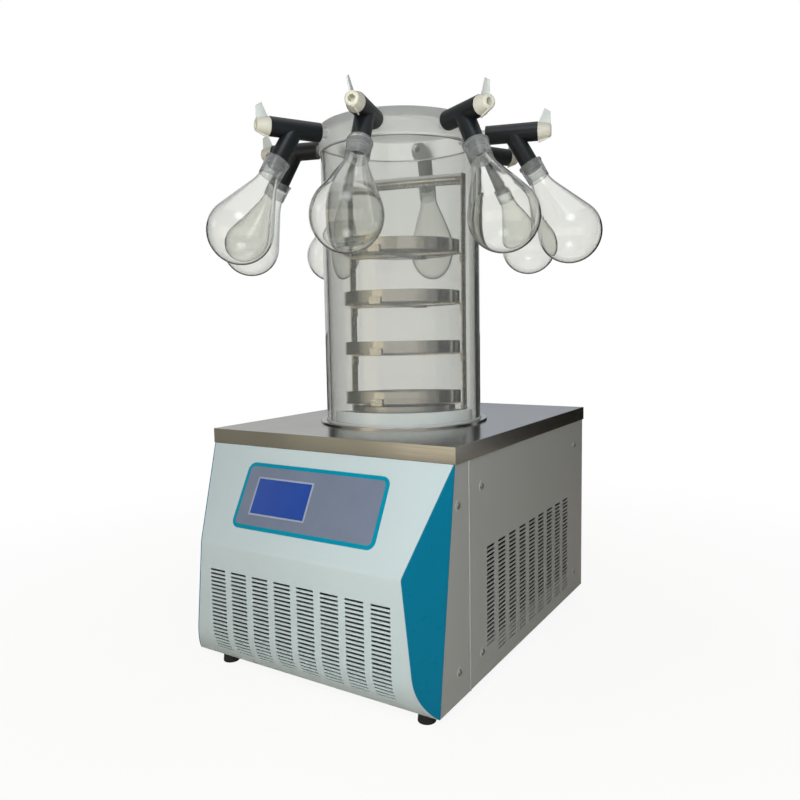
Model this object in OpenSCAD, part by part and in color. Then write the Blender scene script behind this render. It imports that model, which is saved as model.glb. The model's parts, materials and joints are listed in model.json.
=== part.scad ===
// Bench-top freeze dryer: a refrigerated cabinet with a cold trap, a clear drying chamber
// with a rack of trays, and a manifold lid with eight valves that each carry a flask.
// X runs to the right as seen from the front, Y to the rear and Z up. The origin lies on
// the floor, straight under the axis of the drying chamber.

/* [Cabinet] */
// Width over the side panels
body_w = 446; // [420:1:480]
// Height of the worktop's surface above the floor
top_h = 370; // [350:1:410]
// Distance from the chamber's axis to the worktop's front edge
top_front = 235; // [225:1:260]
// Distance from the chamber's axis to the worktop's rear edge
top_rear = 305; // [300:1:340]
// Depth of the worktop's folded edge
top_edge = 24; // [18:1:30]
// How far the worktop's edge stands clear of the side panels
top_clear = 0.5; // [0.3:0.1:2]
// Thickness of the sheet steel
sheet = 1.5; // [1:0.1:2]
// Width of the open joints between panels
joint_gap = 0.8; // [0.5:0.1:1.5]
// Depth of the plain strip in front of the side panels, measured at the top
strip_d = 40; // [30:1:50]
// Height of the rubber feet
foot_h = 14; // [10:1:20]
// Diameter of the rubber feet
foot_d = 26; // [20:1:28]
// Distance between the left and the right feet's centres
foot_span = 364; // [330:1:370]
// Distance by which the feet's pattern lies to the right of the middle
foot_shift = 14; // [0:1:14]
// Distance of the front feet's centres behind the front bottom edge
foot_front = 13; // [13:1:40]
// Distance of the rear feet's centres from the rear panel
foot_rear = 35; // [25:1:60]

/* [Fascia] */
// How far the fascia stands out in front of the worktop
fascia_reach = 75; // [60:1:85]
// Height of the knee between the sloping and the upright face
knee_h = 205; // [195:1:220]
// Radius of the knee
knee_r = 16; // [8:1:30]
// Height at which the upright face starts to curl under
curl_h = 74; // [66:1:76]
// Radius of the curl
curl_r = 82; // [75:1:90]
// Turn of the corner cheeks about the vertical
cheek_turn = 36; // [32:0.5:40]
// Backward lean of the corner cheeks
cheek_lean = 5; // [3:0.5:7]

/* [Air slots] */
// Height of one air slot
slot_h = 3.2; // [2:0.1:4]
// Spacing of the fascia's slots
front_slot_pitch = 6.2; // [5.5:0.1:7]
// Width of one slot in the fascia
front_slot_w = 31; // [26:1:34]
// Spacing of the fascia's slot columns
front_col_pitch = 42.8; // [40:0.1:44]
// Number of slot columns in the fascia
front_cols = 8; // [4:1:8]
// Number of slots in each column of the fascia
front_rows = 22; // [12:1:22]
// Distance of the highest fascia slot below the knee
front_slot_drop = 42; // [35:1:60]
// Width of one slot in the side panels
side_slot_w = 28; // [20:1:34]
// Slot height in the side panels
side_slot_h = 4.2; // [2:0.1:5]
// Spacing of the slots in the side panels
side_slot_pitch = 6.7; // [5.5:0.1:7.5]
// Spacing of the slot columns in the side panels
side_col_pitch = 41; // [36:0.5:44]
// Number of slot columns in a side panel
side_cols = 9; // [5:1:9]
// Number of slots in each column of a side panel
side_rows = 26; // [12:1:26]
// Number of slots left out at the foot of the front column
side_short = 3; // [0:1:6]
// Distance of the rearmost slot column's centre from the rear edge
side_slot_rear = 98; // [80:1:120]
// Distance of the highest side slot below the worktop
side_slot_drop = 164; // [150:1:175]

/* [Control panel] */
// Width of the membrane control panel
overlay_w = 263; // [220:1:280]
// Height of the membrane control panel, along the slope
overlay_h = 104; // [90:1:110]
// Corner radius of the membrane control panel
overlay_r = 13; // [5:1:20]
// Distance of the control panel below the worktop, along the slope
overlay_drop = 26; // [20:1:35]
// Thickness of the control panel
overlay_t = 1; // [0.6:0.1:1.6]
// Width of the display
display_w = 108; // [80:1:120]
// Height of the display
display_h = 60; // [40:1:70]
// Distance of the display from the control panel's left edge
display_in = 27; // [15:1:60]
// Distance of the display from the control panel's top edge
display_drop = 22; // [12:1:28]

/* [Cold trap] */
// Inner diameter of the cold trap
trap_d = 200; // [180:1:204]
// Depth of the cold trap below the worktop's surface
trap_depth = 165; // [120:1:180]
// Diameter of the trap's flange on the worktop
flange_d = 291; // [282:1:310]
// Thickness of the trap's flange
flange_t = 3.5; // [2:0.1:6]
// Diameter of the white ring round the trap's mouth
ring_d = 238; // [232:1:246]
// Height of the white ring above the flange
ring_h = 20.5; // [12:0.5:23]
// Wall of the white ring
ring_wall = 6; // [3:0.5:7]
// Thickness of the white ring's foot
ring_foot = 3; // [2:0.5:5]
// Thickness of the insulation round the trap
foam_t = 24; // [15:1:30]
// Diameter of the flow guide that stands in the trap
guide_d = 180; // [150:1:184]
// Diameter of the evaporator's tube
coil_tube_d = 8; // [6:0.5:9]
// Number of turns of the evaporator
coil_turns = 6; // [4:1:7]

/* [Drying chamber] */
// Outer diameter of the clear drying chamber
chamber_d = 268; // [264:1:276]
// Wall of the drying chamber
chamber_wall = 8; // [5:0.5:9]
// Height of the clear tube
chamber_h = 446.5; // [430:0.5:480]
// Thickness of the chamber's rubber seals
seal_t = 2; // [1.5:0.5:4]
// Outer diameter of the manifold lid
lid_d = 273; // [268:1:280]
// Height of the manifold lid
lid_h = 40; // [38:1:50]
// Thickness of the lid's top
lid_top = 12; // [8:0.5:12]

/* [Tray rack] */
// Diameter of the trays
tray_d = 200; // [180:1:202]
// Height of the trays
tray_h = 20.5; // [15:0.5:25]
// Wall and floor of the trays
tray_wall = 1; // [0.8:0.1:2]
// Number of trays
tray_count = 4; // [4:1:4]
// Height of the lowest tray's underside above the worktop
tray_first = 37; // [36:1:40]
// Spacing of the trays
tray_pitch = 82; // [70:0.5:84]
// Turn of the rack about the chamber's axis
rack_turn = 7; // [0:1:15]
// Distance between the middles of the rack's two posts
post_span = 213; // [210:0.5:214]
// Distance of the posts behind the chamber's axis
post_back = 16; // [10:1:18]
// Width of the strip that the posts and supports are made of
strip_w = 20; // [14:1:20]
// Thickness of that strip
strip_t = 2; // [1.5:0.1:2.5]
// Diameter of the rack's handle tube
handle_d = 18; // [12:1:20]
// Height of the handle tube's middle above the worktop
handle_h = 400; // [385:1:410]

/* [Valves] */
// Height of the valves' axis above the underside of the lid
valve_rise = 18; // [17:0.5:19]
// Turn of the first valve from the front, towards the right
valve_turn = 17; // [0:1:44]
// Distance from the chamber's axis to the valves' inner ends
valve_in = 148; // [145:0.5:155]
// Length of a valve's body along its axis
valve_len = 84; // [82:0.5:92]
// Diameter of a valve's body
valve_d = 30; // [28:0.5:33]
// Distance from the chamber's axis to where the branch leaves the valve
branch_at = 190; // [188:0.5:194]
// Outward tilt of the branch from the vertical
branch_tilt = 30; // [26:0.5:34]
// Diameter of the branch
branch_d = 29; // [26:0.5:30]
// Length of the branch from the valve's axis
branch_len = 70; // [66:0.5:74]
// Diameter of the plug that turns in the valve
plug_d = 22; // [18:0.5:24]
// Radial running clearance of the plug
plug_play = 0.05; // [0.02:0.01:0.08]
// Length of the knob on the plug
knob_len = 21; // [16:0.5:24]
// Lean of the first valve's knob from the upright
knob_lean = 12; // [0:1:30]
// Height of the knob's fin above the axis
fin_h = 35; // [30:0.5:38]
// Thickness of the knob's fin
fin_t = 2.4; // [1.6:0.1:4]

/* [Flasks] */
// Diameter of a flask's bulb
bulb_d = 102; // [90:1:106]
// Distance from the valve's axis to the bulb's centre, along the branch
bulb_at = 187; // [180:1:195]
// Diameter of a flask's neck
neck_d = 31; // [28:0.5:32]
// Distance from the valve's axis to the flask's mouth, along the branch
mouth_at = 74; // [72:0.5:80]
// Length of the flask's straight neck
neck_len = 20; // [16:0.5:26]
// Glass thickness
glass = 2; // [1.5:0.1:3]
// Distance from the valve's axis to the collar's upper end, along the branch
collar_at = 58; // [54:0.5:62]
// Length of the collar
collar_len = 31; // [26:0.5:34]
// Wall of the collar
collar_wall = 3; // [2:0.1:4]
// Clearance between pieces that are pushed together
push_gap = 0.1; // [0.05:0.01:0.2]

/* [Hidden] */
$fn = 64;
// Overrun of a cut past the face that it opens
cut = 1;
// Length that reaches past the whole object
far = 900;

// Cabinet
half_w = body_w / 2;
panel_top = top_h - sheet;
body_top = top_h - top_edge;
body_front = -top_front;
body_rear = top_rear - sheet - top_clear;
knee_y = body_front - fascia_reach;
slope = atan(fascia_reach / (body_top - knee_h));
curl_y = knee_y + curl_r;
bottom_y = curl_y - sqrt(curl_r * curl_r - pow(curl_h - foot_h, 2));
seam_y = body_front + strip_d;
pan_top = foot_h + sheet;
pan_rim = 50;
inner_w = body_w - 2 * sheet - 2 * push_gap;
frame_bar = 20;
flange_w = 60;

// Trap and chamber
trap_r = trap_d / 2;
vessel_r = trap_r + sheet;
trap_floor = top_h - trap_depth;
flange_top = top_h + flange_t;
ring_r = ring_d / 2;
ring_floor = flange_top + ring_foot;
coil_gap = 1.2;
foam_in = vessel_r + coil_tube_d + 2 * coil_gap;
foam_r = foam_in + foam_t;
chamber_r = chamber_d / 2;
chamber_in = chamber_r - chamber_wall;
chamber_z = flange_top + seal_t;
chamber_top = chamber_z + chamber_h;
lid_z = chamber_top + seal_t;
lid_r = lid_d / 2;
lid_wall = 12;
lid_in = lid_r - lid_wall;
seal_lip = 1.5;
guide_r = guide_d / 2;
guide_t = 1.2;
guide_rim = 4;

// Rack
post_x = post_span / 2;
post_in = post_x - strip_t / 2;
handle_z = top_h + handle_h;
bolt_drop = 9;
bolt_r = 2;
bolt_head_r = 3.6;
bolt_head_t = 2.4;

// Valves and flasks
port_count = 8;
valve_z = lid_z + valve_rise;
valve_r = valve_d / 2;
valve_out = valve_in + valve_len;
stub_r = 9;
stub_bore = 6;
stub_depth = 15;
plug_r = plug_d / 2 - plug_play;
plug_in = valve_in + 32;
knob_r = valve_r - 0.5;
knob_end_r = 10;
knob_gap = 0.4;
vent_r = 5;
branch_r = branch_d / 2;
branch_bore = 8;
neck_r = neck_d / 2;
bulb_r = bulb_d / 2;

// Screws
screw_r = 2;
screw_head_r = 4.5;
screw_head_t = 2.2;
screw_len = 6;

// Rear fittings
inlet_x = 83 - half_w;
inlet_z = 110;
inlet_w = 50;
inlet_h = 66;
socket_w = 26;
socket_h = 18;
socket_depth = 16;
socket_z = inlet_z - 15;
rocker_w = 20;
rocker_h = 25;
rocker_z = inlet_z + 16;
rocker_rest = 10;
rocker_pin_r = 1.5;
pin_play = 0.06;
port_x = 0;
port_z = top_h - 45;
port_bore = 12.5;
port_r = 14.5;
port_stand = 12;
port_flange_r = 20;

// Parts behind the fascia's air slots
fan_x = 0;
fan_z = 88;
fan_r = 62;
fan_depth = 28;
fan_y = -190;
condenser_w = 300;
condenser_d = 40;
condenser_h = 138;
condenser_y = fan_y - fan_depth - condenser_d;
shaft_r = 3;
compressor_y = 205;
compressor_r = 60;
compressor_x = half_w - compressor_r - 33;
compressor_h = 165;

function tray_z(n) = top_h + tray_first + (n - 1) * tray_pitch;

// Draws its outline in the Y-Z plane and extends it evenly to both sides.
module across(width) {
    rotate([90, 0, 90]) linear_extrude(width, center = true) children();
}

// Puts a right-hand piece on the right, or its mirror image on the left.
module on_side(side) {
    if (side > 0) children();
    else mirror([1, 0, 0]) children();
}

// Repeats a piece on both sides.
module both_sides() {
    for (side = [-1, 1]) on_side(side) children();
}

// A rectangle with round corners, centred.
module rounded(w, h, r) {
    square([w, h - 2 * r], center = true);
    square([w - 2 * r, h], center = true);
    for (x = [-1, 1], y = [-1, 1])
        translate([x * (w / 2 - r), y * (h / 2 - r)]) circle(r);
}

// A ring turned about Z, from an inner to an outer radius.
module ring(r_in, r_out, z, h) {
    translate([0, 0, z]) difference() {
        cylinder(r = r_out, h = h);
        translate([0, 0, -cut]) cylinder(r = r_in, h = h + 2 * cut);
    }
}

// Outline of the cabinet behind its front skin: sloping face, round knee, upright face
// and curled foot, all moved inwards by the inset.
module front_outline(inset) {
    knee_c = [knee_y + knee_r, knee_h - knee_r * tan(slope / 2)];
    bend = knee_r - inset;
    over = top_edge / cos(slope) + cut;
    head = [body_front + over * sin(slope) + inset * cos(slope),
            body_top + over * cos(slope) - inset * sin(slope)];
    polygon([
        head,
        knee_c + bend * [-cos(slope), sin(slope)],
        knee_c - [bend, 0],
        [knee_y + inset, curl_h],
        [curl_y, curl_h],
        [curl_y, -cut],
        [body_rear, -cut],
        [body_rear, head[1]]
    ]);
    translate(knee_c) circle(bend);
    translate([curl_y, curl_h]) circle(curl_r - inset);
}

// The part of that outline between two heights.
module front_band(inset, low, high) {
    intersection() {
        front_outline(inset);
        translate([-far / 2, low]) square([far, high - low]);
    }
}

// Everything outside the sloping plane of the right-hand cheek, moved inwards by the inset.
module beyond_cheek(inset) {
    translate([half_w, body_front, body_top])
        rotate([0, -cheek_lean, -cheek_turn])
            translate([-inset, -far / 2, -far / 2]) cube(far);
}

// Places a piece on the fascia's sloping face: X to the right, Y up the slope from the
// face's top edge, Z outwards.
module on_slope() {
    translate([0, body_front, body_top]) rotate([90 - slope, 0, 0]) children();
}

// Repeats a piece at each air slot of the fascia, with its middle in the skin.
module at_front_slots() {
    run = knee_h - front_slot_drop - curl_h;
    for (row = [0:front_rows - 1]) {
        down = row * front_slot_pitch;
        turn = max(0, down - run) / curl_r * 180 / PI;
        for (col = [0:front_cols - 1])
            translate([(col - (front_cols - 1) / 2) * front_col_pitch, curl_y,
                       curl_h + max(0, run - down)])
                rotate([turn, 0, 0]) translate([0, -curl_r + sheet / 2, 0]) children();
    }
}

module screw(head_r, head_t, shank_r, shank_len) {
    cylinder(r = head_r, h = head_t);
    translate([0, 0, -shank_len]) cylinder(r = shank_r, h = shank_len);
}

// Repeats a piece at each screw of the side panels, with Z outwards.
module at_side_screws() {
    front = seam_y + 42;
    rear = body_rear - 50;
    strip = seam_y - 31;
    low = foot_h + 41;
    high = body_top - 44;
    for (place = [[front, high], [rear, high], [front, low], [rear, low],
                  [strip, high - 13], [strip, low]])
        both_sides() translate([half_w, place[0], place[1]]) rotate([0, 90, 0]) children();
}

// Repeats a piece at each screw of the rear panel, with Z outwards.
module at_rear_screws() {
    for (x = [-1, 0, 1])
        translate([x * (half_w - 25), body_rear, foot_h + pan_rim / 2])
            rotate([-90, 0, 0]) children();
}

module side_slots() {
    first = body_rear - side_slot_rear;
    for (col = [0:side_cols - 1]) {
        rows = side_rows - (col == side_cols - 1 ? side_short : 0);
        for (row = [0:rows - 1])
            translate([first - col * side_col_pitch, top_h - side_slot_drop - row * side_slot_pitch])
                square([side_slot_w, side_slot_h], center = true);
    }
}

module side_panel() {
    color("gainsboro") difference() {
        translate([half_w - sheet, 0, 0]) rotate([90, 0, 90]) linear_extrude(sheet)
            difference() {
                translate([seam_y + joint_gap, foot_h])
                    square([body_rear - seam_y - joint_gap, panel_top - foot_h]);
                side_slots();
            }
        side_screw_holes();
    }
}

// Clears the side panels' screws out of the sheets behind them.
module side_screw_holes() {
    at_side_screws() translate([0, 0, -screw_len - cut])
        cylinder(r = screw_r + push_gap, h = screw_len + 2 * cut);
}

module rear_screw_holes() {
    at_rear_screws() translate([0, 0, -screw_len - cut])
        cylinder(r = screw_r + push_gap, h = screw_len + 2 * cut);
}

// The pan's side rims reach forward behind the front frame's strips.
module base_pan() {
    front = bottom_y + 2 * sheet;
    rear = body_rear - sheet - push_gap;
    color("dimgray") difference() {
        translate([-inner_w / 2, front, foot_h]) cube([inner_w, rear - front, pan_rim]);
        translate([-inner_w / 2 + sheet, front - cut, pan_top])
            cube([inner_w - 2 * sheet, rear - front - sheet + cut, pan_rim]);
        translate([-far / 2, front - cut, pan_top]) cube([far, body_front - front + cut, pan_rim]);
        side_screw_holes();
        rear_screw_holes();
    }
}

// The two plain strips beside the fascia, with a flange behind each side panel, joined by
// a bar under the worktop.
module front_frame() {
    low = foot_h + pan_rim + push_gap;
    color("gainsboro") difference() {
        union() {
            intersection() {
                both_sides() translate([half_w - sheet, -far, 0]) cube([sheet, far + seam_y, far]);
                across(body_w) front_band(0, foot_h, panel_top);
            }
            both_sides() {
                translate([half_w - 2 * sheet, seam_y - frame_bar, low])
                    cube([sheet, frame_bar, panel_top - low]);
                translate([half_w - 2 * sheet, seam_y - sheet, low])
                    cube([sheet - push_gap, flange_w, panel_top - low]);
            }
            translate([-half_w + sheet, seam_y - frame_bar, panel_top - sheet])
                cube([body_w - 2 * sheet, frame_bar, sheet]);
        }
        both_sides() beyond_cheek(sheet);
        side_screw_holes();
    }
}

module fascia() {
    color("aliceblue") difference() {
        across(body_w) intersection() {
            difference() {
                front_band(0, foot_h, body_top);
                front_outline(sheet);
            }
            translate([-far, 0]) square([far + body_front + 2 * sheet, far]);
        }
        both_sides() beyond_cheek(sheet);
        at_front_slots() cube([front_slot_w, 4 * sheet, slot_h], center = true);
        on_slope() at_display() translate([0, 0, -4 * sheet])
            linear_extrude(8 * sheet) square([lcd_w + 2 * push_gap, lcd_h + 2 * push_gap], center = true);
        on_slope() at_overlay() board_posts(4 * sheet, screw_r + push_gap, -2 * sheet);
    }
}

module cheek() {
    color("teal") intersection() {
        across(body_w) front_band(0, foot_h, body_top);
        difference() {
            beyond_cheek(sheet);
            beyond_cheek(0);
        }
    }
}

// The rear panel's sides are folded forward above the base pan's rim.
module rear_panel() {
    low = foot_h + pan_rim + push_gap;
    color("gainsboro") difference() {
        union() {
            translate([-inner_w / 2, body_rear - sheet, foot_h])
                cube([inner_w, sheet, panel_top - foot_h]);
            both_sides() translate([inner_w / 2 - sheet, body_rear - flange_w, low])
                cube([sheet, flange_w, panel_top - low]);
        }
        translate([inlet_x, body_rear, inlet_z])
            cube([inlet_w + 2 * push_gap, 4 * sheet, inlet_h + 2 * push_gap], center = true);
        translate([port_x, body_rear, port_z]) rotate([90, 0, 0])
            cylinder(r = port_r + push_gap, h = 4 * sheet, center = true);
        for (col = [-1, 0, 1], row = [0:13])
            translate([80 + col * 50, body_rear, inlet_z + row * 9])
                cube([38, 4 * sheet, slot_h], center = true);
        rear_screw_holes();
        side_screw_holes();
    }
}

module worktop() {
    skirt = sheet + top_clear;
    w = body_w + 2 * skirt;
    color("silver") difference() {
        translate([-w / 2, -top_front, body_top]) cube([w, top_front + top_rear, top_edge]);
        translate([-w / 2 + sheet, -top_front + sheet, body_top - cut])
            cube([w - 2 * sheet, top_front + top_rear - 2 * sheet, top_edge - sheet + cut]);
        translate([0, 0, panel_top - cut]) cylinder(r = vessel_r + sheet, h = sheet + 2 * cut);
    }
}

lcd_w = display_w - 10;
lcd_h = display_h - 10;

// Centre of the control panel on the slope.
module at_overlay() {
    translate([0, -overlay_drop - overlay_h / 2, 0]) children();
}

// Centre of the display on the slope.
module at_display() {
    at_overlay() translate([-overlay_w / 2 + display_in + display_w / 2,
                            overlay_h / 2 - display_drop - display_h / 2, 0]) children();
}

module control_overlay() {
    color("slategray") on_slope() difference() {
        at_overlay() linear_extrude(overlay_t) rounded(overlay_w, overlay_h, overlay_r);
        at_display() translate([0, 0, -cut]) linear_extrude(overlay_t + 2 * cut)
            square([display_w + 2 * push_gap, display_h + 2 * push_gap], center = true);
    }
}

module display() {
    color("royalblue") on_slope() at_display() {
        linear_extrude(overlay_t + 0.5) square([display_w, display_h], center = true);
        translate([0, 0, -8]) linear_extrude(8 + overlay_t) square([lcd_w, lcd_h], center = true);
    }
}

board_w = 200;
board_h = 80;
board_back = 20;
board_t = 1.6;

// Four round posts at the control board's corners, from a height on the slope upwards.
module board_posts(h, r, z) {
    for (x = [-1, 1], y = [-1, 1])
        translate([x * (board_w / 2 - 6), y * (board_h / 2 - 6), z]) cylinder(r = r, h = h);
}

module control_board() {
    color("darkgreen") on_slope() at_overlay() {
        translate([0, 0, -board_back]) linear_extrude(board_t)
            square([board_w, board_h], center = true);
        board_posts(board_back - sheet - board_t / 2, 3.5, board_t / 2 - board_back);
        board_posts(board_back - board_t, screw_r, board_t / 2 - board_back);
        for (part = [[30, 16, 22, 16, 10], [62, -14, 30, 14, 8], [78, 18, 12, 18, 11]])
            translate([part[0], part[1], -board_back - part[4] / 2])
                cube([part[2], part[3], part[4] + board_t], center = true);
    }
}

module feet() {
    color("black") for (x = [-1, 1], y = [bottom_y + foot_front, body_rear - foot_rear])
        translate([x * foot_span / 2 + foot_shift, y, 0])
            cylinder(r1 = foot_d / 2, r2 = foot_d / 2 - 1.5, h = foot_h);
}

module panel_screws() {
    color("silver") {
        at_side_screws() screw(screw_head_r, screw_head_t, screw_r, screw_len);
        at_rear_screws() screw(screw_head_r, screw_head_t, screw_r, screw_len);
    }
}

// The trap's vessel hangs from its wide flange, which lies on the worktop.
module cold_trap() {
    color("silver") difference() {
        rotate_extrude() polygon([
            [0, trap_floor - sheet], [vessel_r, trap_floor - sheet], [vessel_r, top_h],
            [flange_d / 2, top_h], [flange_d / 2, flange_top - 1], [flange_d / 2 - 1, flange_top],
            [trap_r, flange_top], [trap_r, trap_floor], [0, trap_floor]
        ]);
        translate([port_x, 0, port_z]) rotate([-90, 0, 0]) cylinder(r = port_bore, h = far);
    }
}

module trap_foam() {
    color("khaki") difference() {
        translate([0, 0, trap_floor - sheet - foam_t])
            cylinder(r = foam_r, h = panel_top - trap_floor + sheet + foam_t);
        translate([0, 0, trap_floor - sheet]) cylinder(r = foam_in, h = far);
        translate([port_x, 0, port_z]) rotate([-90, 0, 0]) cylinder(r = port_r + push_gap, h = far);
    }
}

// Copper tube wound round the vessel: rings of points along a helix, joined side by side.
module evaporator_coil() {
    sides = 8;
    steps = 24;
    count = coil_turns * steps;
    pitch = coil_tube_d + 4;
    mid = vessel_r + coil_gap + coil_tube_d / 2;
    low = trap_floor + coil_tube_d;
    points = [for (i = [0:count], j = [0:sides - 1])
        let (turn = i * 360 / steps, round = j * 360 / sides,
             r = mid + coil_tube_d / 2 * cos(round))
        [r * cos(turn), r * sin(turn), low + pitch * i / steps + coil_tube_d / 2 * sin(round)]];
    walls = [for (i = [0:count - 1], j = [0:sides - 1])
        let (next = (j + 1) % sides)
        [i * sides + j, i * sides + next, (i + 1) * sides + next, (i + 1) * sides + j]];
    start = [for (j = [sides - 1:-1:0]) j];
    end = [for (j = [0:sides - 1]) count * sides + j];
    color("peru") polyhedron(points, concat(walls, [start, end]), convexity = 10);
}

module trap_ring() {
    color("lightsteelblue") rotate_extrude() polygon([
        [trap_r + 1, flange_top], [ring_r, flange_top], [ring_r, flange_top + ring_h - 2],
        [ring_r - 2, flange_top + ring_h], [ring_r - ring_wall, flange_top + ring_h],
        [ring_r - ring_wall, ring_floor], [trap_r + 1, ring_floor]
    ]);
}

// The flow guide hangs in the trap by a narrow rim that lies on the white ring's foot.
module flow_guide() {
    low = trap_floor + 30;
    high = tray_z(1) - strip_t - 2;
    color("silver") {
        ring(guide_r - guide_t, guide_r, low, high - low);
        ring(guide_r - guide_t, trap_r + guide_rim, ring_floor, guide_t);
    }
}

module base_seal() {
    color("lightgray") ring(chamber_in - seal_lip, chamber_r + seal_lip, flange_top, seal_t);
}

module chamber_tube() {
    color("lightcyan", 0.4) ring(chamber_in, chamber_r, chamber_z, chamber_h);
}

module lid_seal() {
    color("lightgray") ring(lid_in, chamber_r + seal_lip, chamber_top, seal_t);
}

// Places a piece at a port: X outwards along the valve's axis, Z up.
module at_port(n) {
    rotate([0, 0, valve_turn + (n - 1) * 360 / port_count - 90])
        translate([0, 0, valve_z]) children();
}

// A straight round bar along a port's axis.
module along_port(r, from, to) {
    translate([from, 0, 0]) rotate([0, 90, 0]) cylinder(r = r, h = to - from);
}

// Places a piece on a branch: Z runs down the branch, from the valve's axis.
module on_branch(n) {
    at_port(n) translate([branch_at, 0, 0]) rotate([0, 180 - branch_tilt, 0]) children();
}

module manifold_lid() {
    color("lightcyan", 0.4) difference() {
        union() {
            rotate_extrude() polygon([
                [lid_in, lid_z], [lid_r, lid_z], [lid_r, lid_z + lid_h - 1.5],
                [lid_r - 1.5, lid_z + lid_h], [0, lid_z + lid_h], [0, lid_z + lid_h - lid_top],
                [lid_in, lid_z + lid_h - lid_top]
            ]);
            for (n = [1:port_count]) at_port(n)
                along_port(stub_r, lid_r - lid_wall / 2, valve_in + stub_depth);
        }
        for (n = [1:port_count]) at_port(n) along_port(stub_bore, lid_in - cut * 4, far);
    }
}

module rack_frame() {
    color("silver") rotate([0, 0, rack_turn]) {
        for (x = [-1, 1]) difference() {
            translate([x * post_x - strip_t / 2, post_back - strip_w / 2, ring_floor])
                cube([strip_t, strip_w, handle_z + handle_d / 2 - ring_floor]);
            for (n = [1:tray_count], up = [-1, tray_pitch / 3 / bolt_drop, 2 * tray_pitch / 3 / bolt_drop])
                translate([x * post_x, post_back, tray_z(n) + up * bolt_drop]) rotate([0, 90, 0])
                    cylinder(r = bolt_r + push_gap, h = strip_t + 2 * cut, center = true);
        }
        translate([0, post_back, handle_z]) rotate([0, 90, 0]) difference() {
            cylinder(r = handle_d / 2, h = 2 * post_in, center = true);
            cylinder(r = handle_d / 2 - strip_t, h = 2 * post_in + cut, center = true);
        }
    }
}

// A cross of strip under each tray: its side arms are bolted to the posts, and its front
// end is turned up as a stop.
module rack_support(n) {
    arm = post_in - push_gap;
    tab = 14;
    stop = 9;
    front = tray_d / 2 + 2;
    color("silver") rotate([0, 0, rack_turn]) translate([0, 0, tray_z(n) - strip_t]) difference() {
        union() {
            translate([-arm, post_back - strip_w / 2, 0]) cube([2 * arm, strip_w, strip_t]);
            for (x = [-arm, arm - strip_t])
                translate([x, post_back - strip_w / 2, -tab]) cube([strip_t, strip_w, tab + strip_t / 2]);
            translate([-strip_w / 2, -front - strip_t, 0])
                cube([strip_w, front + strip_t + 0.9 * tray_d / 2, strip_t]);
            translate([-strip_w / 2, -front - strip_t, 0]) cube([strip_w, strip_t, strip_t + stop]);
        }
        translate([0, post_back, strip_t - bolt_drop]) rotate([0, 90, 0])
            cylinder(r = bolt_r + push_gap, h = far, center = true);
    }
}

module rack_screws() {
    color("gray") rotate([0, 0, rack_turn]) for (n = [1:tray_count]) both_sides()
        translate([post_x + strip_t / 2, post_back, tray_z(n) - bolt_drop]) rotate([0, 90, 0]) {
            screw(bolt_head_r, bolt_head_t, bolt_r, 3 * strip_t);
            translate([0, 0, -2 * strip_t - push_gap - bolt_head_t])
                cylinder(r = bolt_head_r, h = bolt_head_t);
        }
}

module tray(n) {
    r = tray_d / 2;
    color("silver") translate([0, 0, tray_z(n)]) difference() {
        cylinder(r = r, h = tray_h);
        translate([0, 0, tray_wall]) cylinder(r = r - tray_wall, h = tray_h);
    }
}

module valve_body(n) {
    difference() {
        union() {
            at_port(n) along_port(valve_r, valve_in, valve_out);
            on_branch(n) cylinder(r = branch_r, h = branch_len);
        }
        at_port(n) {
            along_port(stub_r + push_gap, valve_in - cut, valve_in + stub_depth + push_gap);
            along_port(stub_bore, valve_in, plug_in);
            along_port(plug_d / 2, plug_in - push_gap, valve_out + cut);
        }
        on_branch(n) cylinder(r = branch_bore, h = branch_len + cut);
    }
}

module valve_bodies() {
    color("black") for (n = [1:port_count]) valve_body(n);
}

// The plug is bored from its inner end to a side hole over the branch. The knob on its
// outer end is a blunt cone with a fin above and a small rib below.
module valve_knob(n) {
    head = valve_out + knob_gap;
    tip = head + knob_len;
    back = head + 0.6;
    edge = tip - 1.2;
    root = vent_r + 2.5;
    lean = n == 1 ? knob_lean : 0;
    color("ivory") at_port(n) rotate([lean, 0, 0]) difference() {
        union() {
            along_port(plug_r, plug_in, head + cut);
            translate([head, 0, 0]) rotate([0, 90, 0])
                cylinder(r1 = knob_r, r2 = knob_end_r, h = knob_len);
            rotate([90, 0, 0]) linear_extrude(fin_t, center = true) polygon([
                [back, root], [edge, root], [edge, fin_h - 6], [head + knob_len / 2, fin_h],
                [back, knob_r - 1]
            ]);
            rotate([90, 0, 0]) linear_extrude(fin_t, center = true) polygon([
                [back, -root], [back, -knob_r - 4], [edge, -knob_end_r - 1], [edge, -root]
            ]);
        }
        along_port(vent_r, tip - 0.7 * knob_len, tip + cut);
        along_port(stub_bore - 1, plug_in - cut, branch_at + branch_bore);
        translate([branch_at, 0, -plug_d]) cylinder(r = stub_bore - 1.5, h = plug_d);
    }
}

// A soft sleeve that is pushed over the branch and over the flask's neck.
module flask_collar(n) {
    bore = max(branch_r, neck_r) + push_gap;
    r = bore + collar_wall;
    on_branch(n) difference() {
        union() {
            translate([0, 0, collar_at]) cylinder(r = r + 1, h = 4);
            translate([0, 0, collar_at]) cylinder(r1 = r, r2 = r - 1, h = collar_len);
        }
        translate([0, 0, collar_at - cut]) cylinder(r = branch_r + push_gap, h = branch_len - collar_at + cut);
        translate([0, 0, branch_len - cut / 10]) cylinder(r = neck_r + push_gap, h = collar_len);
    }
}

module flask_collars() {
    color("darkgray") for (n = [1:port_count]) flask_collar(n);
}

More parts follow.
